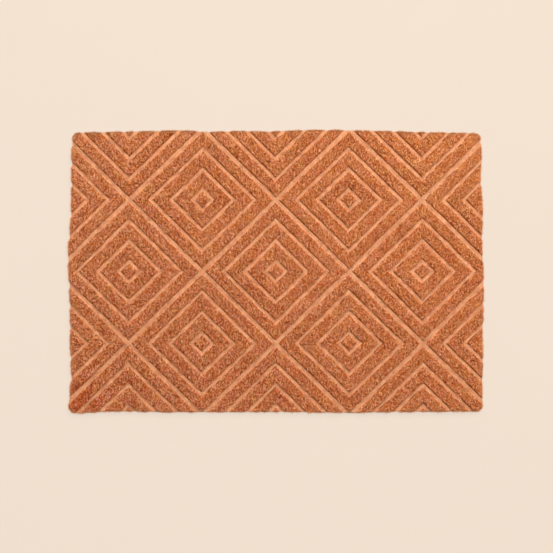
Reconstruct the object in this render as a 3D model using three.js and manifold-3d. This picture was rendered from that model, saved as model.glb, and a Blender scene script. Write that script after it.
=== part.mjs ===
// A moulded coir doormat, lying flat: one slab of stiff coconut-fibre pile with grooves pressed into its top.
// Millimetres, +Z up. X runs along the long side and Y along the short side.
// The origin is on the floor, under the middle of the mat. The underside is flat and lies at Z = 0.
// The grooves draw a traditional lozenge repeat: long diagonal grooves cross to part the mat into lozenges,
// and smaller lozenges are nested inside each one.

import * as THREE from "three";
import { mergeVertices } from "three/addons/utils/BufferGeometryUtils.js";
import Module from "manifold-3d";

// The mat's cut size and its height at the top of the pile.
const MAT_WIDTH = 600;
const MAT_LENGTH = 408;
const MAT_THICKNESS = 15;
const TOP_EDGE_ROUND = 2.5;

// The lozenge repeat: half a lozenge's width and length, and how many smaller ones are nested in it.
// These sizes put the mat's corners halfway between two grooves.
const HALF_DIAGONAL = new THREE.Vector2(107, 104.8);
const NESTED_LOZENGES = 3;
// From a lozenge's middle to its sides, measured square to them, and from groove to groove.
const INRADIUS = (HALF_DIAGONAL.x * HALF_DIAGONAL.y) / HALF_DIAGONAL.length();
const GROOVE_PITCH = INRADIUS / (NESTED_LOZENGES + 1 / 2);
// How many half lozenges it takes to reach the mat's sides from its middle.
const HALF_LOZENGES_OUT = new THREE.Vector2(MAT_WIDTH / 2, MAT_LENGTH / 2).divide(HALF_DIAGONAL).ceil();

// The grooves, as wide as they are at their mouths. Their walls lean in towards their floors.
const GROOVE_DEPTH = 5;
const LONG_GROOVE_WIDTH = 7;
const NESTED_GROOVE_WIDTH = 5.5;
const GROOVE_WALL_LEAN = 0.7;

// How finely curves are drawn, and how far tools run past what they cut.
const OUTLINE_STEPS = 3;
const EDGE_ROUND_STEPS = 2;
const TOOL_OVERLAP = 1;

// The hand-cut edge isn't straight. Each row says how far the edge lies outside the nominal line, at a
// station along that side: X on the bottom and top sides, Y on the right and left sides.
const EDGE_WAVES = {
  bottom: [
    { along: -288, out: 2.6 },
    { along: -262, out: 0.2 },
    { along: -215, out: -1.0 },
    { along: -150, out: 0.2 },
    { along: 0, out: 0.1 },
    { along: 110, out: 1.1 },
    { along: 160, out: 0.0 },
    { along: 288, out: -0.7 },
  ],
  right: [
    { along: -192, out: -0.4 },
    { along: -170, out: -1.6 },
    { along: -128, out: 0.0 },
    { along: -100, out: -0.7 },
    { along: -25, out: 2.0 },
    { along: 45, out: -0.2 },
    { along: 87, out: 1.4 },
    { along: 139, out: -2.0 },
    { along: 162, out: 0.4 },
    { along: 192, out: -1.0 },
  ],
  top: [
    { along: 288, out: -2.4 },
    { along: 233, out: -1.5 },
    { along: 180, out: 0.0 },
    { along: 58, out: 2.4 },
    { along: -8, out: 0.0 },
    { along: -55, out: 0.8 },
    { along: -98, out: -0.6 },
    { along: -133, out: 1.4 },
    { along: -197, out: 0.0 },
    { along: -288, out: -1.6 },
  ],
  left: [
    { along: 192, out: -1.4 },
    { along: 162, out: -0.7 },
    { along: 104, out: -0.8 },
    { along: 72, out: 0.4 },
    { along: 23, out: 3.5 },
    { along: -6, out: 2.6 },
    { along: -32, out: 0.4 },
    { along: -56, out: 0.4 },
    { along: -106, out: -0.8 },
    { along: -165, out: -2.2 },
    { along: -192, out: 1.8 },
  ],
};

const wasm = await Module();
wasm.setup();

function solidOf(geometry) {
  const bare = geometry.clone();
  bare.deleteAttribute("normal");
  bare.deleteAttribute("uv");
  const merged = mergeVertices(bare);
  return new wasm.Manifold(
    new wasm.Mesh({
      numProp: 3,
      vertProperties: merged.attributes.position.array,
      triVerts: new Uint32Array(merged.index.array),
    }),
  );
}

function geometryOf(solid) {
  const mesh = solid.getMesh();
  const indexed = new THREE.BufferGeometry();
  indexed.setAttribute("position", new THREE.BufferAttribute(mesh.vertProperties, 3));
  indexed.setIndex(new THREE.BufferAttribute(mesh.triVerts, 1));
  const faceted = indexed.toNonIndexed();
  faceted.computeVertexNormals();
  return faceted;
}

// The points of one side, in the plan, from its table of stations.
function sidePoints(side) {
  return EDGE_WAVES[side].map(({ along, out }) => {
    if (side === "bottom") return new THREE.Vector2(along, -MAT_LENGTH / 2 - out);
    if (side === "top") return new THREE.Vector2(along, MAT_LENGTH / 2 + out);
    if (side === "right") return new THREE.Vector2(MAT_WIDTH / 2 + out, along);
    return new THREE.Vector2(-MAT_WIDTH / 2 - out, along);
  });
}

// The mat's outline, anticlockwise: four uneven sides joined by rounded corners. Its box is centred on the
// origin.
function matOutline() {
  const sides = ["bottom", "right", "top", "left"].map(sidePoints);
  const outline = new THREE.Path();
  outline.moveTo(sides[0][0].x, sides[0][0].y);
  sides.forEach((points, index) => {
    outline.splineThru(points.slice(1));
    const from = points.at(-1);
    const to = sides[(index + 1) % sides.length][0];
    const runsAlongX = index % 2 === 0;
    const corner = runsAlongX ? [to.x, from.y] : [from.x, to.y];
    outline.quadraticCurveTo(...corner, to.x, to.y);
  });
  const points = outline.getPoints(OUTLINE_STEPS);
  const middle = new THREE.Box2().setFromPoints(points).getCenter(new THREE.Vector2());
  return new THREE.Shape(points.map((point) => point.sub(middle)));
}

// The plain slab: a flat underside, upright sides and a rounded top edge.
function slab() {
  const rounded = new THREE.ExtrudeGeometry(matOutline(), {
    depth: MAT_THICKNESS - TOP_EDGE_ROUND,
    bevelThickness: TOP_EDGE_ROUND,
    bevelSize: TOP_EDGE_ROUND,
    bevelOffset: -TOP_EDGE_ROUND,
    bevelSegments: EDGE_ROUND_STEPS,
  });
  const aboveFloor = new THREE.BoxGeometry(2 * MAT_WIDTH, 2 * MAT_LENGTH, 2 * MAT_THICKNESS);
  aboveFloor.translate(0, 0, MAT_THICKNESS);
  return solidOf(rounded).intersect(solidOf(aboveFloor));
}

// What is taken out of the slab to leave grooves of the given plan, as wide as their mouths. The plan
// narrows towards the grooves' floors.
function grooveTool(plan) {
  const tool = new THREE.ExtrudeGeometry(plan, {
    depth: TOOL_OVERLAP,
    bevelThickness: GROOVE_DEPTH,
    bevelSize: GROOVE_WALL_LEAN,
    bevelOffset: -GROOVE_WALL_LEAN,
    bevelSegments: 1,
  });
  tool.translate(0, 0, MAT_THICKNESS);
  return solidOf(tool);
}

// A lozenge in the plan, its sides at a distance from its middle, measured square to them.
function lozenge(middle, distance) {
  const { x, y } = HALF_DIAGONAL.clone().multiplyScalar(distance / INRADIUS);
  return [
    new THREE.Vector2(middle.x + x, middle.y),
    new THREE.Vector2(middle.x, middle.y + y),
    new THREE.Vector2(middle.x - x, middle.y),
    new THREE.Vector2(middle.x, middle.y - y),
  ];
}

// A groove all the way round a lozenge, centred on its sides.
function lozengeGroove(middle, distance) {
  const plan = new THREE.Shape(lozenge(middle, distance + NESTED_GROOVE_WIDTH / 2));
  plan.holes.push(new THREE.Path(lozenge(middle, distance - NESTED_GROOVE_WIDTH / 2)));
  return grooveTool(plan);
}

// A long groove through a point, along the lozenges' sides. It leans to the right or to the left.
function longGroove(through, leansRight) {
  const reach = MAT_WIDTH + MAT_LENGTH;
  const along = HALF_DIAGONAL.clone().normalize();
  if (!leansRight) along.x = -along.x;
  const across = new THREE.Vector2(-along.y, along.x).multiplyScalar(LONG_GROOVE_WIDTH / 2);
  along.multiplyScalar(reach);
  const corners = [
    through.clone().sub(along).sub(across),
    through.clone().add(along).sub(across),
    through.clone().add(along).add(across),
    through.clone().sub(along).add(across),
  ];
  return grooveTool(new THREE.Shape(corners));
}

// The middles of the lozenges that reach the mat. They stand in two sets of rows and columns, the second set
// half a step along and across from the first.
function lozengeMiddles() {
  const middles = [];
  for (let column = -HALF_LOZENGES_OUT.x; column <= HALF_LOZENGES_OUT.x; column++) {
    for (let row = -HALF_LOZENGES_OUT.y; row <= HALF_LOZENGES_OUT.y; row++) {
      if ((column + row) % 2 !== 0) continue;
      middles.push(new THREE.Vector2(column * HALF_DIAGONAL.x, row * HALF_DIAGONAL.y));
    }
  }
  return middles;
}

function grooveTools() {
  const tools = [];
  for (const middle of lozengeMiddles()) {
    for (let ring = 0; ring < NESTED_LOZENGES; ring++) {
      tools.push(lozengeGroove(middle, (ring + 1 / 2) * GROOVE_PITCH));
    }
  }
  // The long grooves cross at the ends of the lozenges along the mat's middle line, and at like points beyond
  // its sides. Farther out than these, they would miss the mat's corners.
  const outermost = HALF_LOZENGES_OUT.x + HALF_LOZENGES_OUT.y - 2;
  for (let end = -outermost; end <= outermost; end += 2) {
    const through = new THREE.Vector2(end * HALF_DIAGONAL.x, 0);
    tools.push(longGroove(through, true), longGroove(through, false));
  }
  return tools;
}

function coirMat() {
  let solid = slab();
  for (const tool of grooveTools()) {
    solid = solid.subtract(tool);
  }
  return geometryOf(solid);
}

const coir = new THREE.MeshStandardMaterial({ color: 0xbc6f45, roughness: 0.95, metalness: 0 });

const doormat = new THREE.Group();
const mat = new THREE.Mesh(coirMat(), coir);
mat.name = "mat";
doormat.add(mat);

export default doormat;
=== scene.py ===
"""A coir doormat with pressed grooves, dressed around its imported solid.

Its pieces are the pressed mat itself, four strips of standing pile, the brushed edge, a few loose fibres and
the flat fibres on the groove floors. Everything is in metres. X runs along the long side, Y along the short
side and Z up from the floor.
"""

import math

import bpy
import numpy as np
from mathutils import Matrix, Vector


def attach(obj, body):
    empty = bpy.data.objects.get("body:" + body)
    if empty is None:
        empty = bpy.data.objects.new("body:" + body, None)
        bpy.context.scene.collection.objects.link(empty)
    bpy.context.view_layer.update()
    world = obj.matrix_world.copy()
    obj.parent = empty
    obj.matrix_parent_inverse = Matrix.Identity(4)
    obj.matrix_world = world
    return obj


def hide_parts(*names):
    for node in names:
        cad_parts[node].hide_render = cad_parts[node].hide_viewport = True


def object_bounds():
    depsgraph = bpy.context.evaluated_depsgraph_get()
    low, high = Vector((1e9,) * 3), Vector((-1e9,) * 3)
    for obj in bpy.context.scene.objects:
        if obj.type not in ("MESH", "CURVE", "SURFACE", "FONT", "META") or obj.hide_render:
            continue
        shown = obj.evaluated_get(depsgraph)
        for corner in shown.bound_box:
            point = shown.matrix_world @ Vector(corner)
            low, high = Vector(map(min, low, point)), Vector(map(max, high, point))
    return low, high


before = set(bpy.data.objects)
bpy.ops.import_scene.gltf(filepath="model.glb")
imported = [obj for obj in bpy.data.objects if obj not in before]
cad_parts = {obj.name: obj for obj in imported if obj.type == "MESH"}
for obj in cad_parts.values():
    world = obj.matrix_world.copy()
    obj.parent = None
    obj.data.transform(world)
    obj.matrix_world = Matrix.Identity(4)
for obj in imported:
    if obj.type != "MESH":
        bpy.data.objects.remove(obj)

CAD_LOW, CAD_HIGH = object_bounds()
MM = 0.001

# The lozenge repeat of the grooves, as in the solid.
MAT_SIZE = np.array([0.600, 0.408])
HALF_DIAGONAL = np.array([107, 104.8]) * MM
NESTED_LOZENGES = 3
INRADIUS = HALF_DIAGONAL.prod() / math.hypot(*HALF_DIAGONAL)
GROOVE_PITCH = INRADIUS / (NESTED_LOZENGES + 0.5)
HALF_LOZENGES_OUT = np.ceil(MAT_SIZE / 2 / HALF_DIAGONAL).astype(int)

# Half widths of the grooves' mouths, and how far in from them the walls' feet stand.
LONG_GROOVE_HALF = 3.5 * MM
NESTED_GROOVE_HALF = 2.75 * MM
WALL_LEAN = 0.9 * MM
# How far the pressed lines stray from straight, and over what length.
GROOVE_WANDER = 0.6 * MM
WANDER_LENGTH = 60 * MM

# Heights above the floor.
GROOVE_FLOOR_Z = 10 * MM
PILE_ROOT_Z = 10.6 * MM
PILE_TOP_Z = 15 * MM
# Beside a groove the pile is cut lower, and the ground under it is lower too, over this width.
SHOULDER_WIDTH = 3 * MM
SHOULDER_DROP = 0.9 * MM
GROUND_CROWN = 0.5 * MM

# Smooth waves in those heights, in millimetres.
GROUND_WAVES = [
    {"height": 0.5, "size": 3.2, "seed": 1},
    {"height": 0.3, "size": 11, "seed": 2},
]
GROOVE_FLOOR_WAVES = [
    {"height": 0.15, "size": 5, "seed": 3},
]
PILE_WAVES = [
    {"height": 0.3, "size": 16, "seed": 5},
    {"height": 0.15, "size": 5, "seed": 6},
]

# The pressed mat's mesh: how finely a pile band and the middle of a lozenge are divided, and how far the
# sheet runs on past the mat and under the floor before it is cut to the outline.
BAND_STEPS = 5
MIDDLE_STEPS = 3
SHEET_MARGIN = 6 * MM
SHEET_DEPTH = 5 * MM

# The pile: tufts on a jittered grid, each a bunch of thin fibres that lean and cross. The jitter and the
# spread of a tuft's fibres are shares of the grid's pitch.
PILE_STRIPS = 4
TUFT_PITCH = 1.92 * MM
TUFT_JITTER = 0.42
TUFT_SPREAD = 0.26
FIBRES_PER_TUFT = 4
FIBRE_HALF_WIDTH = 0.38 * MM
FIBRE_LEAN = 1.6 * MM
LONGEST_LEAN = 4.5 * MM
# The fibres are combed along Y: these are the shares of their lean along X and along Y.
COMBED = np.array([0.65, 1.15])
OVERHANG = 0.7 * MM
# How much the heights of the tufts and of single fibres vary, and the few tufts that are short, painted dark
# # as the shade they sit in.
TUFT_LIFT = 0.45 * MM
TIP_LIFT = 0.45 * MM
SHORT_TUFTS = 0.10
SHORT_BY = 2.2 * MM
SHORT_TUFT_SHADE = -2.2
# How far the rows of tufts beside a groove stray from its mouth, and over what length.
RAGGED_BY = 0.8 * MM
RAGGED_LENGTH = 6 * MM

# The mat isn't the same all over. A slope gives how much a number changes from the mat's middle to its sides
# at high X and at high Y: the pile is redder and more uneven towards low X and low Y.
REDNESS_SLOPE = (-0.60, -0.80)
UNEVENNESS_SLOPE = (-0.35, -0.2)
# The corner at low X and low Y is lumpier, darker and redder, and the one at high X and high Y is more
# golden. Both wear off between these distances from the corner.
LUMPY_REACH = (30 * MM, 62 * MM)
LUMPY_LIFT = 0.6
LUMPY_TONE = -1.6
LUMPY_REDNESS = 1.9
GOLDEN_REACH = (50 * MM, 230 * MM)
GOLDEN_REDNESS = -0.9

# Fibres pressed flat on the groove floors, in each square metre of the whole mat.
FLOOR_FIBRES = 110_000
FLOOR_FIBRE_HALF_LENGTHS = (1.0 * MM, 3.2 * MM)
FLOOR_FIBRE_HALF_WIDTH = 0.22 * MM
FLOOR_FIBRE_LIFTS = (0.05 * MM, 0.35 * MM)

# The brushed edge, which bulges out between the grooves: at what shares of the mat's height its fibres end,
# how deep in the sides they have their roots, and the sparse fuzz that reaches farther out.
EDGE_FIBRES_PER_METRE = 12_000
EDGE_BULGE = 1.9 * MM
EDGE_HEIGHTS = (0.12, 1.0)
EDGE_DEPTHS = (0.1 * MM, 0.7 * MM)
EDGE_FUZZ = 0.16
FUZZ_REACH = 2.2 * MM
# The edge dips in at the grooves' ends. On the side at low X it dips in more there, and bulges more between.
# A side begins at the first of these shares of the way to it from the mat's middle, and is full at the other.
LOW_SIDE = (0.95, 0.98)
EDGE_DIP = 0.4
LOW_SIDE_DIP = 0.5
LOW_SIDE_BULGE = 0.3
# The rim of the pile is cut rounder than the rest. It and the edge are duller, with this share of a brown
# mixed in, and along the side at high Y they carry painted shade too, darker by this share.
RIM_WIDTH = 5 * MM
RIM_DROP = 1.0 * MM
RIM_BROWN = (220, 160, 112)
RIM_BROWN_SHARE = 0.6
FAR_SIDE = (0.93, 0.97)
FAR_RIM_PAINTED_SHADE = 0.35

# Loose fibres that lie on the pile: how many are scattered, how far inside the mat, and the few that stand
# out. Places and lengths are in millimetres, and turns in degrees.
SCATTERED_FIBRES = 36
SCATTER_MARGIN = 12
LOOSE_FIBRE_STEPS = 7
CLEAR_FIBRES = [
    {"x": -177, "y": 96, "heading": 10, "length": 11, "turn": 8, "width": 0.55},
    {"x": -263, "y": -70, "heading": -40, "length": 20, "turn": 75, "width": 0.40},
    {"x": -212, "y": -138, "heading": 70, "length": 12, "turn": -190, "width": 0.35},
    {"x": 224, "y": -50, "heading": 95, "length": 13, "turn": -160, "width": 0.40},
    {"x": 257, "y": -42, "heading": 60, "length": 10, "turn": 30, "width": 0.35},
    {"x": 30, "y": 150, "heading": 20, "length": 9, "turn": -40, "width": 0.35},
]

# The painted shadow at the foot of the groove walls, on the floor beside the wall at higher X, comes and goes
# over this length. The bias makes it longer at walls towards high Y.
CREASE_SHADOW_LENGTH = 14 * MM
CREASE_SHADOW_BIAS = 0.55

# Where the pressed mat's top, underside and sides lie in its bake map, from low V to high V.
TOP_BAND = (0, 0.68)
UNDERSIDE_BAND = (0.70, 0.94)
SIDE_BAND = (0.96, 1)

# The camera, with its sensor's width in millimetres, and the middle of its picture on the floor.
SENSOR_WIDTH = 36
CAMERA_DISTANCE = 1.45
CAMERA_TILT = math.radians(2.0)
PICTURE_SPAN = 0.813
PICTURE_MIDDLE = (0.001, -0.0075)

# The light from all round, and the lamps: round panels that face the mat, with their power in watts.
# The floor glows, as a lit studio sweep does, so that the mat casts hardly any shadow on it.
ROOM_LIGHT = 0.29
FLOOR_GLOW = 0.875
# A far round wall hides the horizon, and the mat lies a hair's breadth clear of the floor.
WALL_DISTANCE = 25.0
WALL_HEIGHT = 8.0
WALL_SIDES = 96
FLOOR_CLEARANCE = 0.1 * MM
LAMPS = [
    {"name": "key", "power": 36, "at": (0.49, 1.04, 1.88), "width": 0.7},
    {"name": "fill", "power": 41, "at": (-0.10, 0.92, 1.92), "width": 2.4},
]


def smooth_step(low, high, value):
    """0 below low, 1 above high, and a smooth rise between them."""
    share = np.clip((value - low) / (high - low), 0, 1)
    return share * share * (3 - 2 * share)


def value_noise(x, y, scale, seed):
    """Smooth noise from -1 to 1, with lumps about as wide as scale."""
    cells = 64
    table = np.random.default_rng(seed).uniform(-1, 1, (cells, cells))
    gx, gy = x / scale, y / scale
    ix, iy = np.floor(gx).astype(int), np.floor(gy).astype(int)
    fx, fy = gx - ix, gy - iy
    fx, fy = fx * fx * (3 - 2 * fx), fy * fy * (3 - 2 * fy)

    def at(i, j):
        return table[i % cells, j % cells]

    low = at(ix, iy) * (1 - fx) + at(ix + 1, iy) * fx
    high = at(ix, iy + 1) * (1 - fx) + at(ix + 1, iy + 1) * fx
    return low * (1 - fy) + high * fy


def waves(x, y, rows):
    """How high the waves in a table stand at a place."""
    return sum(row["height"] * MM * value_noise(x, y, row["size"] * MM, row["seed"]) for row in rows)


def sloping(x, y, slope):
    """A number that is 0 in the mat's middle and changes evenly to its sides."""
    return slope[0] * x / CAD_HIGH.x + slope[1] * y / CAD_HIGH.y


def share_across(x):
    """How far a place is along the mat's box in X, from 0 to 1."""
    return (x - CAD_LOW.x) / (CAD_HIGH.x - CAD_LOW.x)


def share_along(y):
    """How far a place is along the mat's box in Y, from 0 to 1."""
    return (y - CAD_LOW.y) / (CAD_HIGH.y - CAD_LOW.y)


# The plan of the grooves and of the mat.


def straight_distance(x, y):
    """Distance from the mouth of the nearest groove, were all grooves straight; negative over a groove."""
    across, along = x / HALF_DIAGONAL[0], y / HALF_DIAGONAL[1]
    offsets = [value - 2 * np.round(value / 2) for value in (across + along, across - along)]
    farthest = np.maximum(*np.abs(offsets))
    pitches = (1 - farthest) * INRADIUS / GROOVE_PITCH
    nearest = np.minimum(np.round(pitches), NESTED_LOZENGES)
    half_width = np.where(nearest == 0, LONG_GROOVE_HALF, NESTED_GROOVE_HALF)
    return np.abs(pitches - nearest) * GROOVE_PITCH - half_width


def wander(x, y):
    """How far the grooves stray from straight, along X and along Y."""
    return [GROOVE_WANDER * value_noise(x, y, WANDER_LENGTH, seed) for seed in (21, 22)]


def pile_distance(x, y):
    """Distance from the mouth of the nearest groove; negative over a groove."""
    stray_x, stray_y = wander(x, y)
    return straight_distance(x - stray_x, y - stray_y)


def mat_outline():
    """The mat's outline on the floor, anticlockwise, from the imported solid."""
    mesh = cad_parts["mat"].data
    points = np.array([v.co for v in mesh.vertices])
    on_floor = points[points[:, 2] < 0.01 * MM][:, :2]
    corners = np.unique(on_floor.round(6), axis=0)
    return corners[np.argsort(np.arctan2(corners[:, 1], corners[:, 0]))]


OUTLINE = mat_outline()


def inset(x, y):
    """Distance inside the outline; negative outside it."""
    start = OUTLINE
    side = np.roll(OUTLINE, -1, axis=0) - start
    length = np.hypot(side[:, 0], side[:, 1])
    normal = np.stack([-side[:, 1], side[:, 0]], 1) / length[:, None]
    nearest = np.full(x.shape, np.inf)
    signed = np.zeros(x.shape)
    for (sx, sy), (dx, dy), (nx, ny), size in zip(start, side, normal, length, strict=True):
        share = np.clip(((x - sx) * dx + (y - sy) * dy) / size**2, 0, 1)
        away = np.hypot(x - sx - share * dx, y - sy - share * dy)
        inwards = (x - sx) * nx + (y - sy) * ny
        closer = away < nearest
        nearest = np.where(closer, away, nearest)
        signed = np.where(closer, np.where(inwards >= 0, away, -away), signed)
    return signed


# Meshes.


def new_mesh_object(name, points, faces):
    """A mesh object from arrays of points and of triangles."""
    mesh = bpy.data.meshes.new(name)
    mesh.vertices.add(len(points))
    mesh.vertices.foreach_set("co", points.astype(np.float32).ravel())
    mesh.loops.add(faces.size)
    mesh.loops.foreach_set("vertex_index", faces.astype(np.int32).ravel())
    mesh.polygons.add(len(faces))
    mesh.polygons.foreach_set("loop_start", np.arange(0, faces.size, 3, dtype=np.int32))
    mesh.update(calc_edges=True)
    mesh.validate()
    made = bpy.data.objects.new(name, mesh)
    bpy.context.scene.collection.objects.link(made)
    return made


def add_numbers(made, name, values):
    """Stores one number for each point of a mesh, for its material to read."""
    attribute = made.data.attributes.new(name, "FLOAT", "POINT")
    attribute.data.foreach_set("value", values.astype(np.float32))


def add_bake_map(mesh, u, v):
    """Stores a UV map for baking, from one place for each corner."""
    layer = mesh.uv_layers.new(name="OFBake")
    places = np.clip(np.stack([u, v], 1), 0, 1)
    layer.data.foreach_set("uv", places.astype(np.float32).ravel())


# The pressed mat.


def band_lines():
    """Distances from a lozenge's middle, out to its sides, at which the mesh has a line."""
    lines = []
    low = 0
    for ring in range(NESTED_LOZENGES + 1):
        groove = (ring + 0.5) * GROOVE_PITCH
        is_long = ring == NESTED_LOZENGES
        half_width = LONG_GROOVE_HALF if is_long else NESTED_GROOVE_HALF
        steps = MIDDLE_STEPS if ring == 0 else BAND_STEPS
        lines += list(np.linspace(low, groove - half_width, steps + 1))
        lines += [groove - half_width + WALL_LEAN, groove]
        if not is_long:
            lines += [groove + half_width - WALL_LEAN]
        low = groove + half_width
    return np.array(lines)


def grid_lines():
    """The lines across the whole mat, in one of the two diagonal directions."""
    half = band_lines()
    whole = np.concatenate([-half[:0:-1], half])
    outermost = HALF_LOZENGES_OUT.sum() - 1
    middles = np.arange(-outermost, outermost + 1, 2)
    lines = np.concatenate([whole[:-1] + middle * INRADIUS for middle in middles])
    return np.append(lines, (outermost + 1) * INRADIUS)


def relief(x, y):
    """Height of the pressed mat under its pile, were all grooves straight."""
    distance = straight_distance(x, y)
    crown = GROUND_CROWN * smooth_step(0, SHOULDER_WIDTH, distance)
    ground = PILE_ROOT_Z + crown + waves(x, y, GROUND_WAVES)
    groove_floor_z = GROOVE_FLOOR_Z + waves(x, y, GROOVE_FLOOR_WAVES)
    return np.where(distance < -0.5 * WALL_LEAN, groove_floor_z, ground)


def pressed_sheet():
    """The relief over a little more than the mat, as a closed slab whose mesh follows every groove."""
    lines = grid_lines()
    first, second = np.meshgrid(lines, lines, indexing="ij")
    x = HALF_DIAGONAL[0] * (first + second) / (2 * INRADIUS)
    y = HALF_DIAGONAL[1] * (first - second) / (2 * INRADIUS)
    near = (np.abs(x) < CAD_HIGH.x + SHEET_MARGIN) & (np.abs(y) < CAD_HIGH.y + SHEET_MARGIN)
    kept = near[:-1, :-1] | near[1:, :-1] | near[:-1, 1:] | near[1:, 1:]

    count = len(lines)
    index = np.arange(count * count).reshape(count, count)
    corners = [index[:-1, :-1], index[:-1, 1:], index[1:, 1:], index[1:, :-1]]
    a, b, c, d = (corner[kept] for corner in corners)
    # Each cell is split along the way out from its lozenge's middle, so that grooves turn with a sharp mitre.
    middle = [0.5 * (line[:-1, :-1] + line[1:, 1:])[kept] / INRADIUS for line in (first, second)]
    offset = [value - 2 * np.round(value / 2) for value in middle]
    outwards = (offset[0] * offset[1] > 0)[:, None]
    one = np.where(outwards, np.stack([a, b, c], 1), np.stack([a, b, d], 1))
    two = np.where(outwards, np.stack([a, c, d], 1), np.stack([b, c, d], 1))
    used, top = np.unique(np.concatenate([one, two]), return_inverse=True)
    top = top.reshape(-1, 3)

    x, y = x.ravel()[used], y.ravel()[used]
    z = relief(x, y)
    stray_x, stray_y = wander(x, y)
    x, y = x + stray_x, y + stray_y
    above = np.stack([x, y, z], 1)
    below = np.stack([x, y, np.full(x.shape, -SHEET_DEPTH)], 1)

    edges = np.concatenate([top[:, [0, 1]], top[:, [1, 2]], top[:, [2, 0]]])
    shift = len(x)
    ahead = edges[:, 0] * shift + edges[:, 1]
    back = edges[:, 1] * shift + edges[:, 0]
    start, end = edges[~np.isin(ahead, back)].T
    walls = np.concatenate(
        [
            np.stack([end, start, start + shift], 1),
            np.stack([end, start + shift, end + shift], 1),
        ]
    )
    faces = np.concatenate([top, top[:, ::-1] + shift, walls])
    return new_mesh_object("pressed_sheet", np.concatenate([above, below]), faces)


def outline_block():
    """A tall block with the mat's outline, standing on the floor."""
    count = len(OUTLINE)
    height = 2 * PILE_TOP_Z
    low = np.column_stack([OUTLINE, np.zeros(count)])
    high = np.column_stack([OUTLINE, np.full(count, height)])
    centres = [[0, 0, 0], [0, 0, height]]
    here = np.arange(count)
    following = np.roll(here, -1)
    under, over = np.full(count, 2 * count), np.full(count, 2 * count + 1)
    faces = np.concatenate(
        [
            np.stack([here, following, following + count], 1),
            np.stack([here, following + count, here + count], 1),
            np.stack([following, here, under], 1),
            np.stack([here + count, following + count, over], 1),
        ]
    )
    return new_mesh_object("outline_block", np.concatenate([low, high, centres]), faces)


def mat_body():
    """The pressed mat, cut to its outline."""
    body = pressed_sheet()
    body.name = "mat_body"
    block = outline_block()
    cut = body.modifiers.new("cut", "BOOLEAN")
    cut.operation = "INTERSECT"
    cut.solver = "MANIFOLD"
    cut.object = block
    shape = body.evaluated_get(bpy.context.evaluated_depsgraph_get())
    mesh = bpy.data.meshes.new_from_object(shape)
    body.modifiers.clear()
    body.data = mesh
    bpy.data.objects.remove(block)
    return body


# The pile.

# A sliver's points are two at its root and two at its tip, and these are its faces.
SLIVER_POINTS = 4
SLIVER_FACES = [[0, 1, 2], [1, 0, 3], [2, 3, 0], [3, 2, 1]]


def fibres(roots, tips, half_width, turn):
    """Thin closed slivers of even width.

    A sliver has a short edge across its root and another across its tip, square to the first.
    """
    along = tips - roots
    along = along / np.linalg.norm(along, axis=1, keepdims=True)
    aside = np.cross(np.array([0, 0, -1]), along)
    aside /= np.linalg.norm(aside, axis=1, keepdims=True)
    under = np.cross(along, aside)
    cosine, sine = np.cos(turn)[:, None], np.sin(turn)[:, None]
    at_root = half_width[:, None] * (cosine * aside + sine * under)
    at_tip = half_width[:, None] * (cosine * under - sine * aside)
    points = np.stack([roots + at_root, roots - at_root, tips + at_tip, tips - at_tip], 1).reshape(-1, 3)
    first = SLIVER_POINTS * np.arange(len(roots))[:, None]
    faces = np.concatenate([first + row for row in SLIVER_FACES], 1)
    return points, faces.reshape(-1, 3)


def fibre_object(name, points, faces, tuft_tones, fibre_tones, rim):
    """A piece made of slivers, with the numbers that its material reads."""
    made = new_mesh_object(name, points, faces)
    add_numbers(made, "redness", redness(points[:, 0], points[:, 1]))
    # How far up its fibre each point lies: the material paints fibres darker towards their roots, as painted
    # shade of the pile around them.
    add_numbers(made, "reach", np.tile([0, 0, 1, 1], len(fibre_tones)))
    for column, values in (("tuft_tone", tuft_tones), ("fibre_tone", fibre_tones), ("rim", rim)):
        add_numbers(made, column, np.repeat(values, SLIVER_POINTS))
    # Painted shade along the rim at the side at high Y.
    at_far_side = smooth_step(*FAR_SIDE, points[:, 1] / CAD_HIGH.y)
    add_numbers(made, "far_rim_shade", np.repeat(rim, SLIVER_POINTS) * at_far_side)
    return made


def tuft_places(rng):
    """Where the tufts stand: a jittered grid over the pile bands, with ragged sides along the grooves."""
    nx, ny = (int(2 * high / TUFT_PITCH) for high in (CAD_HIGH.x, CAD_HIGH.y))
    column, row = np.meshgrid(np.arange(nx + 1), np.arange(ny + 1), indexing="ij")
    x = CAD_LOW.x + TUFT_PITCH * (column + 0.5 * (row % 2))
    y = CAD_LOW.y + TUFT_PITCH * row
    x = (x + TUFT_PITCH * rng.uniform(-TUFT_JITTER, TUFT_JITTER, x.shape)).ravel()
    y = (y + TUFT_PITCH * rng.uniform(-TUFT_JITTER, TUFT_JITTER, y.shape)).ravel()
    ragged = RAGGED_BY * value_noise(x, y, RAGGED_LENGTH, 4)
    on_pile = pile_distance(x, y) > ragged + 0.1 * MM
    inside = inset(x, y) > 0.2 * MM
    return x[on_pile & inside], y[on_pile & inside]


def pile_height(x, y):
    """Height at which the pile is cut: level, but for shoulders beside the grooves and slow waves."""
    shoulder = SHOULDER_DROP * (1 - smooth_step(0, SHOULDER_WIDTH, pile_distance(x, y)))
    return PILE_TOP_Z - shoulder + waves(x, y, PILE_WAVES)


def rim_share(x, y):
    """1 at the mat's outline and beyond it, and 0 away from it."""
    return 1 - smooth_step(0, RIM_WIDTH, inset(x, y))


def lumpy_corner(x, y):
    """1 in the corner at low X and low Y, and 0 away from it."""
    return 1 - smooth_step(*LUMPY_REACH, np.hypot(x - CAD_LOW.x, y - CAD_LOW.y))


def golden_corner(x, y):
    """1 in the corner at high X and high Y, and 0 away from it."""
    return 1 - smooth_step(*GOLDEN_REACH, np.hypot(x - CAD_HIGH.x, y - CAD_HIGH.y))


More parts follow.
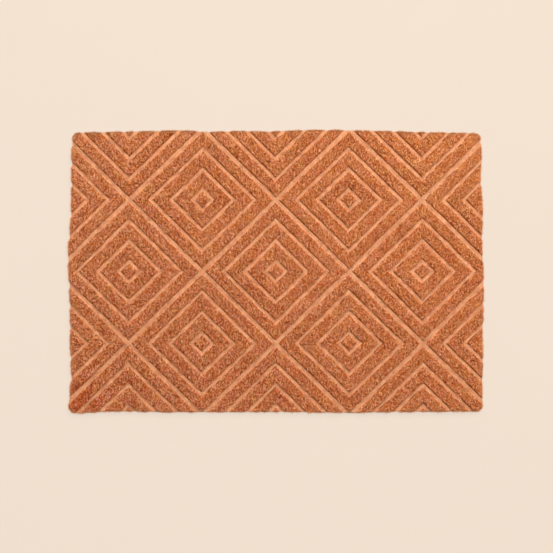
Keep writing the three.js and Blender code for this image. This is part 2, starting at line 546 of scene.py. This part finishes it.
def redness(x, y):
    """How far the pile leans to red, from golden."""
    in_corners = LUMPY_REDNESS * lumpy_corner(x, y) + GOLDEN_REDNESS * golden_corner(x, y)
    return sloping(x, y, REDNESS_SLOPE) + in_corners


def unevenness(x, y):
    """How uneven the pile is, as a share of what it is in the mat's middle."""
    return 1 + sloping(x, y, UNEVENNESS_SLOPE)


def pile_fibres():
    """Every fibre of the pile, as columns of roots, tips, half widths, turns, tones and shares in the rim."""
    rng = np.random.default_rng(11)
    tuft_x, tuft_y = tuft_places(rng)
    tufts = len(tuft_x)
    lumpy = lumpy_corner(tuft_x, tuft_y)
    uneven = unevenness(tuft_x, tuft_y)
    # Taller tufts are painted paler and lower ones darker: painted light and shade, for how much light
    # reaches each.
    height = rng.normal(0, 1, tufts) * uneven
    tuft_tone = 0.75 * height + rng.normal(0, 0.65, tufts) * uneven + LUMPY_TONE * lumpy
    tuft_lift = TUFT_LIFT * height * (1 + LUMPY_LIFT * lumpy)
    # A few tufts are short, and painted dark as the shade between the taller ones.
    is_short = rng.uniform(size=tufts) < SHORT_TUFTS * uneven
    tuft_lift = np.where(is_short, -SHORT_BY, tuft_lift)
    tuft_tone = np.where(is_short, SHORT_TUFT_SHADE, tuft_tone)

    owner = np.repeat(np.arange(tufts), FIBRES_PER_TUFT)
    count = len(owner)
    spread = rng.normal(0, TUFT_SPREAD * TUFT_PITCH, (count, 2))
    root_x = tuft_x[owner] + spread[:, 0]
    root_y = tuft_y[owner] + spread[:, 1]
    heading = rng.uniform(0, 2 * math.pi, count)
    length = np.minimum(rng.rayleigh(FIBRE_LEAN, count), LONGEST_LEAN)
    lean = COMBED * length[:, None] * np.stack([np.cos(heading), np.sin(heading)], 1)
    # A fibre that would hang far over a groove or the outline leans the other way, or else stands straighter.
    for change in (-1, 0.15):
        tip_x, tip_y = root_x + lean[:, 0], root_y + lean[:, 1]
        hangs = np.minimum(pile_distance(tip_x, tip_y), inset(tip_x, tip_y)) < -OVERHANG
        lean[hangs] *= change
    root_x = np.where(hangs, tuft_x[owner], root_x)
    root_y = np.where(hangs, tuft_y[owner], root_y)
    tip_x, tip_y = root_x + lean[:, 0], root_y + lean[:, 1]
    rim = rim_share(tip_x, tip_y)
    tip_z = pile_height(tip_x, tip_y) - RIM_DROP * rim + tuft_lift[owner]
    tip_z += rng.normal(0, TIP_LIFT, count) * uneven[owner]
    root_z = np.full(count, PILE_ROOT_Z)
    # The fibres are finer where the pile is smoother.
    half_widths = FIBRE_HALF_WIDTH * rng.uniform(0.7, 1.35, count) * (0.5 + 0.5 * uneven[owner])
    return {
        "roots": np.stack([root_x, root_y, root_z], 1),
        "tips": np.stack([tip_x, tip_y, np.maximum(tip_z, PILE_ROOT_Z + MM)], 1),
        "half_widths": half_widths,
        "turns": math.pi / 4 + rng.normal(0, 0.4, count),
        "tuft_tones": tuft_tone[owner],
        "fibre_tones": rng.normal(0, 1, count) * uneven[owner],
        "rim": rim,
    }


def pile_strip(name, made, chosen, low, high):
    """One strip of pile, from the chosen fibres, between two heights in Y."""
    own = {column: values[chosen] for column, values in made.items()}
    points, faces = fibres(own["roots"], own["tips"], own["half_widths"], own["turns"])
    strip = fibre_object(name, points, faces, own["tuft_tones"], own["fibre_tones"], own["rim"])
    corners = points[faces.ravel()]
    add_bake_map(strip.data, share_across(corners[:, 0]), (corners[:, 1] - low) / (high - low))
    return strip


def pile_strips():
    """The pile, in strips along the mat that each hold an equal share of the fibres."""
    made = pile_fibres()
    y = made["roots"][:, 1]
    bounds = np.quantile(y, np.linspace(0, 1, PILE_STRIPS + 1))
    bounds[-1] += MM
    strips = []
    for number, (low, high) in enumerate(zip(bounds[:-1], bounds[1:], strict=True), 1):
        chosen = (y >= low) & (y < high)
        strips.append(pile_strip(f"pile_{number}", made, chosen, low, high))
    return strips


def floor_fibres():
    """Fibres pressed flat on the groove floors, lying every way."""
    rng = np.random.default_rng(41)
    count = int(FLOOR_FIBRES * (CAD_HIGH.x - CAD_LOW.x) * (CAD_HIGH.y - CAD_LOW.y))
    x, y = (rng.uniform(low, high, count) for low, high in zip(CAD_LOW[:2], CAD_HIGH[:2], strict=True))
    heading = rng.uniform(0, math.pi, count)
    half_length = rng.uniform(*FLOOR_FIBRE_HALF_LENGTHS, count)[:, None]
    reach = half_length * np.stack([np.cos(heading), np.sin(heading)], 1)
    ends = [np.stack([x, y], 1) + way * reach for way in (-1, 1)]
    kept = np.ones(count, bool)
    for end_x, end_y in (end.T for end in ends):
        kept &= (pile_distance(end_x, end_y) < -0.4 * MM) & (inset(end_x, end_y) > MM)
    heights = GROOVE_FLOOR_Z + rng.uniform(*FLOOR_FIBRE_LIFTS, (2, count))
    low, high = (np.column_stack([end, z])[kept] for end, z in zip(ends, heights, strict=True))
    count = kept.sum()
    half_widths = FLOOR_FIBRE_HALF_WIDTH * rng.uniform(0.7, 1.3, count)
    points, faces = fibres(low, high, half_widths, math.pi / 4 + rng.normal(0, 0.3, count))
    tones = rng.normal(0, 1, (2, count))
    made = fibre_object("floor_fibres", points, faces, *tones, np.zeros(count))
    corners = points[faces.ravel()]
    add_bake_map(made.data, share_across(corners[:, 0]), share_along(corners[:, 1]))
    return made


def edge_pile():
    """Fibres that stand up the sides of the mat. Those at half its height lean out the most."""
    rng = np.random.default_rng(23)
    side = np.roll(OUTLINE, -1, axis=0) - OUTLINE
    length = np.hypot(side[:, 0], side[:, 1])
    count = int(EDGE_FIBRES_PER_METRE * length.sum())
    at = rng.uniform(0, length.sum(), count)
    ends = np.cumsum(length)
    which = np.searchsorted(ends, at)
    share = 1 - (ends[which] - at) / length[which]
    along = side[which] / length[which, None]
    out = np.stack([along[:, 1], -along[:, 0]], 1)
    foot = OUTLINE[which] + share[:, None] * side[which]
    x, y = foot.T

    top = np.where(pile_distance(x, y) < 0, GROOVE_FLOOR_Z, pile_height(x, y) - RIM_DROP)
    height = rng.uniform(*EDGE_HEIGHTS, count)
    roundness = 0.2 + 0.8 * np.sqrt(1 - (2 * height - 1) ** 2)
    beside_groove = 1 - smooth_step(-2 * MM, 3 * MM, pile_distance(x, y))
    at_low_side = smooth_step(*LOW_SIDE, x / CAD_LOW.x)
    swell = (1 + 0.5 * value_noise(x, y, 7 * MM, 7)) * (1 + LOW_SIDE_BULGE * at_low_side)
    swell *= 1 - (EDGE_DIP + LOW_SIDE_DIP * at_low_side) * beside_groove
    lean_out = EDGE_BULGE * swell * roundness * rng.uniform(0.4, 1.0, count)
    fuzz = rng.uniform(size=count) < EDGE_FUZZ
    lean_out += np.where(fuzz, FUZZ_REACH * rng.uniform(0.2, 1.0, count), 0)
    lean_along = rng.normal(0, 1.0 * MM, count)
    depth = rng.uniform(*EDGE_DEPTHS, count)
    base = np.maximum(0.6 * MM, top * (height - rng.uniform(0.35, 0.6, count)))
    roots = np.column_stack([foot - depth[:, None] * out, base])
    tips = np.column_stack([foot + lean_out[:, None] * out + lean_along[:, None] * along, top * height])
    half_widths = FIBRE_HALF_WIDTH * rng.uniform(0.8, 1.2, count) * np.where(fuzz, 0.45, 1)
    points, faces = fibres(roots, tips, half_widths, rng.uniform(0, 2 * math.pi, count))
    tuft_tones = 1.2 * value_noise(x, y, 3 * MM, 8) + LUMPY_TONE * lumpy_corner(x, y)
    edge = fibre_object("edge_pile", points, faces, tuft_tones, rng.normal(0, 1, count), np.ones(count))
    # Each point's own place along the sides, so that every face has some width in the bake map.
    beyond = points.reshape(-1, SLIVER_POINTS, 3)[:, :, :2] - foot[:, None]
    places = (at[:, None] + (beyond * along[:, None]).sum(axis=2)).ravel()
    u = places[faces.ravel()] / length.sum()
    v = points[faces.ravel(), 2] / (1.3 * PILE_TOP_Z)
    add_bake_map(edge.data, u, v)
    return edge


def scattered_rows(rng):
    """Rows like those of CLEAR_FIBRES, for thin fibres scattered over the mat."""
    reach_x, reach_y = (size / MM / 2 - SCATTER_MARGIN for size in MAT_SIZE)
    return [
        {
            "x": rng.uniform(-reach_x, reach_x),
            "y": rng.uniform(-reach_y, reach_y),
            "heading": rng.uniform(0, 360),
            "length": rng.uniform(5, 12),
            "turn": rng.normal(0, 70),
            "width": rng.uniform(0.2, 0.35),
        }
        for _ in range(SCATTERED_FIBRES)
    ]


def fibre_path(row):
    """Points along a loose fibre, which lies on the pile and arches a little in its middle."""
    stride = row["length"] * MM / (LOOSE_FIBRE_STEPS - 1)
    shares = np.linspace(0, 1, LOOSE_FIBRE_STEPS)
    headings = np.radians(row["heading"] + row["turn"] * shares)
    steps = stride * np.stack([np.cos(headings), np.sin(headings)], 1)
    flat = np.array([row["x"], row["y"]]) * MM + np.cumsum(steps, axis=0)
    z = pile_height(*flat.T) + 0.2 * MM + 0.5 * MM * np.sin(math.pi * shares)
    return np.column_stack([flat, z]), headings


def loose_fibres():
    """Long curved fibres that lie on the pile, as three-sided tubes that taper at their ends."""
    rng = np.random.default_rng(31)
    rows = CLEAR_FIBRES + scattered_rows(rng)
    cells = math.ceil(math.sqrt(len(rows)))
    points, faces, places = [], [], []
    for number, row in enumerate(rows):
        path, headings = fibre_path(row)
        first = 3 * number * LOOSE_FIBRE_STEPS
        for step, (centre, heading) in enumerate(zip(path, headings, strict=True)):
            at_end = step in (0, LOOSE_FIBRE_STEPS - 1)
            half_width = row["width"] / 2 * MM * (0.5 if at_end else 1)
            aside = np.array([-math.sin(heading), math.cos(heading), 0])
            points += [centre + half_width * aside, centre - half_width * aside]
            points += [centre + half_width * np.array([0, 0, 1])]
            u = (number % cells + 0.2 + 0.6 * step / LOOSE_FIBRE_STEPS) / cells
            places += [(u, (number // cells + v) / cells) for v in (0.2, 0.8, 0.5)]
        for low in range(first, first + 3 * (LOOSE_FIBRE_STEPS - 1), 3):
            for corner in range(3):
                after = (corner + 1) % 3
                faces.append([low + after, low + corner, low + 3 + after])
                faces.append([low + 3 + after, low + corner, low + 3 + corner])
        last = first + 3 * (LOOSE_FIBRE_STEPS - 1)
        faces += [[first, first + 1, first + 2], [last + 2, last + 1, last]]
    faces = np.array(faces)
    points = np.array(points)
    made = new_mesh_object("loose_fibres", points, faces)
    tones = np.repeat(rng.normal(1.0, 0.4, len(rows)), 3 * LOOSE_FIBRE_STEPS)
    for name in ("tuft_tone", "fibre_tone", "reach"):
        add_numbers(made, name, tones)
    add_numbers(made, "redness", redness(points[:, 0], points[:, 1]))
    add_bake_map(made.data, *np.array(places)[faces.ravel()].T)
    return made


# Materials.


def linear(red, green, blue):
    """An sRGB colour, from 0 to 255, as Blender's linear colour."""
    channels = []
    for value in (red, green, blue):
        share = value / 255
        low = share / 12.92
        high = ((share + 0.055) / 1.055) ** 2.4
        channels.append(low if share <= 0.04045 else high)
    return (*channels, 1.0)


class Nodes:
    """A short way to build a material's nodes and links."""

    def __init__(self, name):
        self.material = bpy.data.materials.new(name)
        self.material.use_nodes = True
        self.tree = self.material.node_tree
        self.shader = self.tree.nodes["Principled BSDF"]

    def link(self, source, target):
        self.tree.links.new(source, target)

    def add(self, kind, **settings):
        node = self.tree.nodes.new(kind)
        for name, value in settings.items():
            setattr(node, name, value)
        return node

    def set(self, socket, value):
        if isinstance(value, bpy.types.NodeSocket):
            self.link(value, socket)
        else:
            socket.default_value = value

    def maths(self, operation, *values):
        node = self.add("ShaderNodeMath", operation=operation)
        for socket, value in zip(node.inputs, values):
            self.set(socket, value)
        return node.outputs[0]

    def total(self, start, *terms):
        """The start, plus each term's value times its weight."""
        result = start
        for value, weight in terms:
            result = self.maths("MULTIPLY_ADD", value, weight, result)
        return result

    def number(self, name):
        return self.add("ShaderNodeAttribute", attribute_name=name).outputs["Fac"]

    def place(self):
        return self.add("ShaderNodeTexCoord").outputs["Object"]

    def noise(self, size, detail=2.0, seed=0.0):
        """Noise from -1 to 1, with lumps of the given size."""
        node = self.add("ShaderNodeTexNoise", noise_dimensions="4D")
        self.link(self.place(), node.inputs["Vector"])
        node.inputs["W"].default_value = seed
        node.inputs["Scale"].default_value = 1 / size
        node.inputs["Detail"].default_value = detail
        return self.maths("MULTIPLY_ADD", node.outputs[0], 2.0, -1.0)

    def streaks(self, patch, width, length, seed=0.0):
        """Fine streaks from -1 to 1, turned another way in each patch, and each patch's own number."""
        where = self.place()
        cells = self.add("ShaderNodeTexVoronoi", voronoi_dimensions="4D")
        self.link(where, cells.inputs["Vector"])
        cells.inputs["W"].default_value = seed
        cells.inputs["Scale"].default_value = 1 / patch
        number = self.add("ShaderNodeSeparateColor")
        self.link(cells.outputs["Color"], number.inputs[0])
        turned = self.add("ShaderNodeVectorRotate", rotation_type="Z_AXIS")
        self.link(where, turned.inputs["Vector"])
        self.link(self.maths("MULTIPLY", number.outputs[0], 2 * math.pi), turned.inputs["Angle"])
        scaled = self.add("ShaderNodeMapping")
        self.link(turned.outputs[0], scaled.inputs["Vector"])
        scaled.inputs["Scale"].default_value = (1 / width, 1 / length, 1 / length)
        node = self.add("ShaderNodeTexNoise")
        self.link(scaled.outputs[0], node.inputs["Vector"])
        node.inputs["Scale"].default_value = 1.0
        node.inputs["Detail"].default_value = 1.0
        streak = self.maths("MULTIPLY_ADD", node.outputs[0], 2.0, -1.0)
        return streak, self.maths("MULTIPLY_ADD", number.outputs[1], 2.0, -1.0)

    def ramp(self, source, stops):
        node = self.add("ShaderNodeValToRGB")
        self.link(source, node.inputs[0])
        elements = node.color_ramp.elements
        while len(elements) < len(stops):
            elements.new(0.5)
        for element, (place, colour) in zip(elements, stops, strict=True):
            element.position = place
            element.color = linear(*colour)
        return node.outputs[0]

    def blend(self, kind, share, one, other):
        """One colour, blended with a share of another."""
        node = self.add("ShaderNodeMix", data_type="RGBA", blend_type=kind)
        self.set(node.inputs["Factor"], share)
        colours = [socket for socket in node.inputs if socket.type == "RGBA"]
        self.set(colours[0], one)
        self.set(colours[1], other)
        return next(socket for socket in node.outputs if socket.type == "RGBA")

    def tint(self, colour, green, blue):
        """A colour with its green and its blue multiplied."""
        shares = self.add("ShaderNodeCombineColor")
        shares.inputs["Red"].default_value = 1.0
        self.set(shares.inputs["Green"], green)
        self.set(shares.inputs["Blue"], blue)
        return self.blend("MULTIPLY", 1.0, colour, shares.outputs[0])

    def bump(self, height, distance):
        node = self.add("ShaderNodeBump")
        self.link(height, node.inputs["Height"])
        node.inputs["Distance"].default_value = distance
        self.link(node.outputs[0], self.shader.inputs["Normal"])

    def finish(self, colour, roughness, specular):
        self.link(colour, self.shader.inputs["Base Color"])
        self.shader.inputs["Roughness"].default_value = roughness
        self.shader.inputs["Specular IOR Level"].default_value = specular
        return self.material


# Colours from dark to pale, by tone: those of the standing fibres, and those of the groove floors.
COIR_STOPS = [
    (0.00, (140, 44, 4)),
    (0.20, (186, 80, 20)),
    (0.40, (216, 114, 52)),
    (0.60, (235, 143, 84)),
    (0.80, (244, 168, 112)),
    (1.00, (250, 192, 142)),
]
FLOOR_STOPS = [
    (0.05, (132, 76, 44)),
    (0.35, (176, 113, 75)),
    (0.60, (197, 137, 96)),
    (0.95, (216, 162, 122)),
]


def coir_fibre():
    """The standing fibres: each has its own tone, within patches that lean to red, orange or olive.

    Those of the rim and the edge are browner. Each fibre is painted darker towards its root, and the rim
    at high Y darker still, as painted shade.
    """
    nodes = Nodes("coir_fibre")
    tone = nodes.total(
        0.415,
        (nodes.number("fibre_tone"), 0.33),
        (nodes.number("tuft_tone"), 0.09),
        # Painted shade: each fibre is darker towards its root, where the pile around it shades it.
        (nodes.number("reach"), 0.26),
        (nodes.noise(22 * MM), 0.10),
    )
    colour = nodes.ramp(tone, COIR_STOPS)
    red = nodes.number("redness")
    green = nodes.total(1.05, (nodes.noise(11 * MM, seed=1.0), 0.22), (red, -0.07))
    blue = nodes.total(1.06, (nodes.noise(14 * MM, seed=2.0), 0.52), (red, -0.08))
    brown_share = nodes.maths("MULTIPLY", nodes.number("rim"), RIM_BROWN_SHARE)
    colour = nodes.blend("MIX", brown_share, nodes.tint(colour, green, blue), linear(*RIM_BROWN))
    # Painted shade: the rim at the side at high Y is darkened towards black.
    painted_shade_share = nodes.maths("MULTIPLY", nodes.number("far_rim_shade"), FAR_RIM_PAINTED_SHADE)
    colour = nodes.blend("MIX", painted_shade_share, colour, linear(0, 0, 0))
    return nodes.finish(colour, 0.85, 0.2)


def coir_ground():
    """The dense fibre under the pile, coloured darker than the fibres as painted shade of those that stand on
    it.
    """
    nodes = Nodes("coir_ground")
    stops = [(0.0, (100, 36, 6)), (0.3, (152, 72, 26)), (0.6, (192, 110, 60)), (1.0, (222, 148, 98))]
    streak, patch = nodes.streaks(2.4 * MM, 0.35 * MM, 2.5 * MM)
    tone = nodes.total(0.42, (streak, 0.45), (patch, 0.22), (nodes.noise(22 * MM), 0.25))
    nodes.bump(streak, 0.25 * MM)
    return nodes.finish(nodes.ramp(tone, stops), 0.95, 0.15)


def groove_floor():
    """The pressed floors of the grooves: smoother and paler than the pile."""
    nodes = Nodes("groove_floor")
    one, _ = nodes.streaks(4 * MM, 0.3 * MM, 4 * MM, seed=3.0)
    other, patch = nodes.streaks(2.7 * MM, 0.25 * MM, 3 * MM, seed=5.0)
    crossing = nodes.maths("MAXIMUM", one, other)
    tone = nodes.total(0.48, (crossing, 0.35), (patch, 0.08), (nodes.noise(9 * MM, seed=3.0), 0.40))
    nodes.bump(crossing, 0.10 * MM)
    return nodes.finish(nodes.ramp(tone, FLOOR_STOPS), 0.75, 0.25)


def pressed_fibre():
    """The flat fibres on the groove floors: as pale as the floors, each with its own tone."""
    nodes = Nodes("pressed_fibre")
    tone = nodes.total(0.55, (nodes.number("fibre_tone"), 0.18), (nodes.noise(9 * MM, seed=3.0), 0.40))
    return nodes.finish(nodes.ramp(tone, FLOOR_STOPS), 0.75, 0.25)


def crease_shadow():
    """Painted shadow: the dark line along the foot of a groove's wall, where the wall shades the floor."""
    nodes = Nodes("crease_shadow")
    stops = [(0.2, (58, 24, 8)), (0.8, (120, 62, 30))]
    colour = nodes.ramp(nodes.total(0.5, (nodes.noise(3 * MM), 0.6)), stops)
    return nodes.finish(colour, 1.0, 0.05)


def underside():
    """The hidden underside: flat, close-pressed fibre."""
    nodes = Nodes("pressed_underside")
    stops = [(0.3, (118, 62, 32)), (0.7, (168, 98, 58))]
    colour = nodes.ramp(nodes.total(0.5, (nodes.noise(2.5 * MM, 4.0), 0.5)), stops)
    nodes.bump(nodes.noise(1.2 * MM, 3.0), 0.1 * MM)
    return nodes.finish(colour, 0.9, 0.2)


def in_crease_shadow(x, y):
    """Whether a place lies in the painted shadow where a groove's floor meets its wall at higher X.

    The painted shadow comes and goes along the groove, and is longest at walls towards high X and high Y.
    """
    step = 0.2 * MM
    rise_x = (pile_distance(x + step, y) - pile_distance(x - step, y)) / (2 * step)
    rise_y = (pile_distance(x, y + step) - pile_distance(x, y - step)) / (2 * step)
    distance = pile_distance(x, y)
    on_wall = (distance > -WALL_LEAN) & (distance < 0) & (rise_x > 0)
    return on_wall & (value_noise(x, y, CREASE_SHADOW_LENGTH, 10) > -CREASE_SHADOW_BIAS * rise_y)


# The places of the pressed mat's materials in its mesh's list. What isn't one of the rest is ground.
GROUND, GROOVE, UNDERSIDE, CREASE_SHADOW = range(4)


def paint_body(body):
    """Gives each face of the pressed mat its material, and the whole mesh its map for baking."""
    mesh = body.data
    mesh.materials.clear()
    for material in (coir_ground(), groove_floor(), underside(), crease_shadow()):
        mesh.materials.append(material)
    count = len(mesh.polygons)
    centres = np.empty(3 * count)
    normals = np.empty(3 * count)
    mesh.polygons.foreach_get("center", centres)
    mesh.polygons.foreach_get("normal", normals)
    centre_x, centre_y, _ = centres.reshape(-1, 3).T
    upward = normals.reshape(-1, 3)[:, 2]
    faces_up = upward > 0.05
    faces_down = upward < -0.5
    # Faces that get the painted shadow at the foot of some groove walls.
    crease_shadowed = faces_up & in_crease_shadow(centre_x, centre_y)
    on_floor = (upward > 0.6) & (pile_distance(centre_x, centre_y) < -0.2 * WALL_LEAN)
    material = np.select([faces_down, crease_shadowed, on_floor], [UNDERSIDE, CREASE_SHADOW, GROOVE], default=GROUND)
    mesh.polygons.foreach_set("material_index", material.astype(np.int32))
    mesh.polygons.foreach_set("use_smooth", np.zeros(count, bool))
    map_body(mesh, faces_up, faces_down, np.arctan2(centre_y, centre_x))


def within(band, share):
    """A place in a band, at a share of the way through it."""
    low, high = band
    return low + (high - low) * share


def map_body(mesh, faces_up, faces_down, face_angles):
    """The bake map of the pressed mat: its top, then its underside above that, then its sides as a strip."""
    corner_count = len(mesh.loops)
    corner_points = np.empty(corner_count, np.int32)
    mesh.loops.foreach_get("vertex_index", corner_points)
    points = np.empty(3 * len(mesh.vertices))
    mesh.vertices.foreach_get("co", points)
    x, y, z = points.reshape(-1, 3)[corner_points].T
    sizes = np.empty(len(mesh.polygons), np.int32)
    mesh.polygons.foreach_get("loop_total", sizes)
    up, down, middle_angle = (np.repeat(values, sizes) for values in (faces_up, faces_down, face_angles))

    # A face's corners keep to its own side of the line where the angles jump.
    jump = np.round((np.arctan2(y, x) - middle_angle) / (2 * math.pi))
    turn = np.arctan2(y, x) / (2 * math.pi) - jump + 0.5
    u = np.where(up | down, share_across(x), turn)
    flat_v = np.where(up, within(TOP_BAND, share_along(y)), within(UNDERSIDE_BAND, share_along(y)))
    v = np.where(up | down, flat_v, within(SIDE_BAND, z / PILE_TOP_Z))
    add_bake_map(mesh, u, v)


# The stage.


def pale_surface():
    """The plain pale paper of the floor and the wall, which glows a little."""
    nodes = Nodes("pale_surface")
    stops = [(0.3, (75, 69, 64)), (0.7, (77, 71, 65))]
    colour = nodes.ramp(nodes.total(0.5, (nodes.noise(60 * MM, 3.0), 0.5)), stops)
    nodes.shader.inputs["Emission Color"].default_value = linear(243, 225, 208)
    nodes.shader.inputs["Emission Strength"].default_value = FLOOR_GLOW
    return nodes.finish(colour, 0.9, 0.1)


def surroundings():
    """The plain pale floor that the mat lies on, and a far wall like it that hides the horizon."""
    pale = pale_surface()
    bpy.ops.mesh.primitive_plane_add(size=2 * WALL_DISTANCE, location=(0, 0, -FLOOR_CLEARANCE))
    floor = bpy.context.object
    bpy.ops.mesh.primitive_cylinder_add(
        vertices=WALL_SIDES, radius=WALL_DISTANCE, depth=2 * WALL_HEIGHT, end_fill_type="NOTHING"
    )
    wall = bpy.context.object
    for name, made in (("floor", floor), ("wall", wall)):
        made.name = name
        made.data.materials.append(pale)


def lights():
    """Even light from all round, and the lamps."""
    world = bpy.data.worlds.new("studio")
    world.use_nodes = True
    background = world.node_tree.nodes["Background"]
    background.inputs["Color"].default_value = (1.0, 1.0, 1.0, 1.0)
    background.inputs["Strength"].default_value = ROOM_LIGHT
    bpy.context.scene.world = world
    for row in LAMPS:
        data = bpy.data.lights.new(row["name"], "AREA")
        data.shape = "DISK"
        data.size = row["width"]
        data.energy = row["power"]
        lamp = bpy.data.objects.new(row["name"], data)
        lamp.location = row["at"]
        lamp.rotation_euler = Vector(row["at"]).to_track_quat("Z", "Y").to_euler()
        lamp.visible_camera = False
        bpy.context.scene.collection.objects.link(lamp)


def camera():
    """Looks almost straight down on the mat, from a little towards its lower side."""
    data = bpy.data.cameras.new("camera")
    data.sensor_width = SENSOR_WIDTH
    data.lens = SENSOR_WIDTH * CAMERA_DISTANCE / PICTURE_SPAN
    made = bpy.data.objects.new("camera", data)
    target = Vector((*PICTURE_MIDDLE, 0))
    back = Vector((0, -math.sin(CAMERA_TILT), math.cos(CAMERA_TILT)))
    made.location = target + CAMERA_DISTANCE * back
    made.rotation_euler = back.to_track_quat("Z", "Y").to_euler()
    bpy.context.scene.collection.objects.link(made)
    bpy.context.scene.camera = made


def dress():
    """Makes every piece, and attaches each one to the root body."""
    body = mat_body()
    paint_body(body)
    standing = [*pile_strips(), edge_pile(), loose_fibres()]
    fibre = coir_fibre()
    for piece in standing:
        piece.data.materials.append(fibre)
    pressed = floor_fibres()
    pressed.data.materials.append(pressed_fibre())
    pile = [*standing, pressed]
    for piece in (body, *pile):
        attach(piece, "root")
    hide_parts("mat")


camera()
lights()
surroundings()
dress()
bpy.context.scene.view_settings.view_transform = "Standard"
